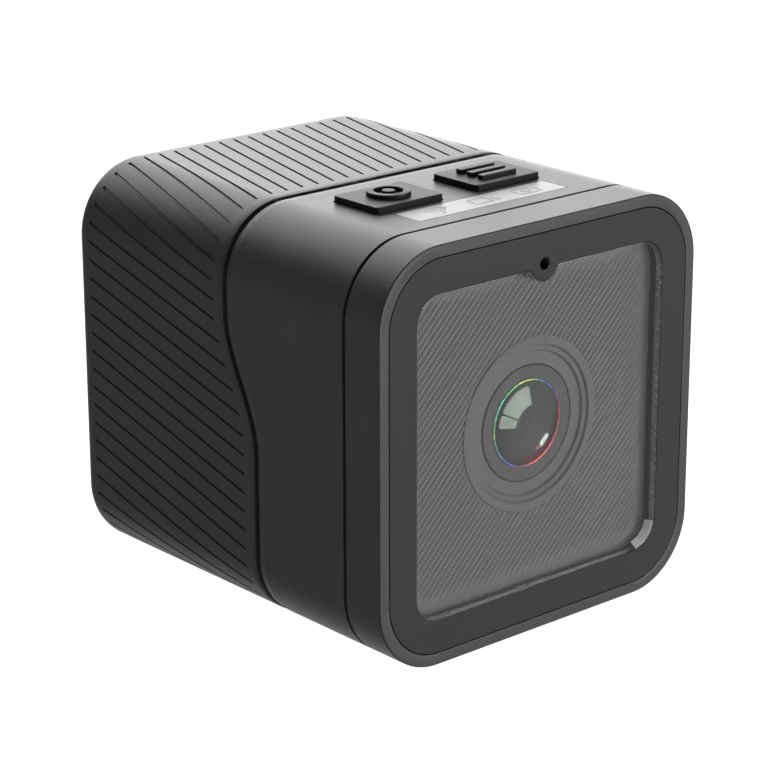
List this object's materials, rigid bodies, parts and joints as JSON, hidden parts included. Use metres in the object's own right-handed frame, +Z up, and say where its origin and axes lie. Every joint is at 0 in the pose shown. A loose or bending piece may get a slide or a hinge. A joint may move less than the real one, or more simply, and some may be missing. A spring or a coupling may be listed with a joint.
{
  "type": "action camera",
  "caption": "Cube action camera with a framed window over a wide lens, raised top keys, a status strip and a pull-off grooved grip cover.",
  "frame": {"origin": "on the base, under the middle of the body's length and width", "axes": "+Z up through the keys, -Y the way the lens looks, +X to the right seen from in front"},
  "size_m": [0.04, 0.0452, 0.041],
  "materials": {
    "housing_plastic": "fine-grained moulded black plastic",
    "grip_plastic": "moulded black plastic with slanted grip grooves",
    "frame_plastic": "smooth black plastic",
    "plate_plastic": "black plastic with fine diagonal ribs",
    "baffle_plastic": "matt black plastic",
    "window_clear": "clear, polished",
    "lens_glass": "coated optical glass",
    "filter_glass": "blue-green filter glass",
    "lens_metal": "black anodised",
    "key_plastic": "moulded black plastic",
    "strip_plastic": "silver-grey translucent plastic",
    "seal_rubber": "black silicone",
    "vent_membrane": "white vent membrane",
    "circuit_board": "green solder mask",
    "chip_black": "moulded chip package",
    "sensor_die": "sensor under cover glass",
    "led_resin": "clear yellowish resin",
    "flex_polyimide": "amber polyimide film",
    "steel_plain": "plated steel",
    "socket_steel": "stamped steel",
    "insert_brass": "turned brass",
    "battery_wrap": "battery foil",
    "lead_red": "wire insulation",
    "card_black": "card plastic",
    "symbol_grey": "printed grey symbols"
  },
  "bodies": {
    "camera": {"front_bezel": "housing_plastic", "front_frame": "frame_plastic", "window_glass": "window_clear", "ribbed_plate": "plate_plastic", "front_gasket": "seal_rubber", "main_body": "housing_plastic", "lens_baffle": "baffle_plastic", "lens_retaining_ring": "lens_metal", "lens_front_element": "lens_glass", "aperture_stop": "lens_metal", "lens_middle_element": "lens_glass", "lens_spacer": "lens_metal", "lens_rear_element": "lens_glass", "lens_barrel": "lens_metal", "lens_holder": "chip_black", "lens_carrier": "chip_black", "ir_filter": "filter_glass", "image_sensor": "sensor_die", "sensor_board": "circuit_board", "sensor_screws": "steel_plain", "sensor_flex": "flex_polyimide", "mic_membrane": "vent_membrane", "microphone": "steel_plain", "tripod_insert": "insert_brass", "status_strip": "strip_plastic", "status_leds": "led_resin", "key_seal": "seal_rubber", "key_board": "circuit_board", "key_board_screws": "steel_plain", "key_switches": "socket_steel", "key_flex": "flex_polyimide", "buzzer": "chip_black", "frame_screws": "steel_plain", "inner_chassis": "chip_black", "cover_seal": "seal_rubber", "rear_panel": "chip_black", "panel_screws": "steel_plain", "battery": "battery_wrap", "battery_lead": "lead_red", "main_board": "circuit_board", "processor": "chip_black", "memory_chip": "chip_black", "shield_can": "socket_steel", "wireless_module": "socket_steel", "card_socket": "socket_steel", "usb_port": "socket_steel"},
    "ok_key": {"ok_button": "key_plastic", "ok_switch_plunger": "chip_black"},
    "mode_key": {"mode_button": "key_plastic", "mode_switch_plunger": "chip_black"},
    "card": {"memory_card": "card_black"},
    "cover": {"rear_cover": "grip_plastic"}
  },
  "joints": [
    {"name": "ok_key_press", "type": "slide", "parent": "camera", "child": "ok_key", "axis": [0, 0, -1], "range_m": [0, 0.00035], "stiffness_N_per_m": 400},
    {"name": "mode_key_press", "type": "slide", "parent": "camera", "child": "mode_key", "axis": [0, 0, -1], "range_m": [0, 0.00035], "stiffness_N_per_m": 400},
    {"name": "card_slide", "type": "slide", "parent": "camera", "child": "card", "axis": [0, 1, 0], "range_m": [-0.0006, 0.0035]},
    {"name": "cover_pull", "type": "slide", "parent": "camera", "child": "cover", "axis": [0, 1, 0], "range_m": [0, 0.03]}
  ]
}
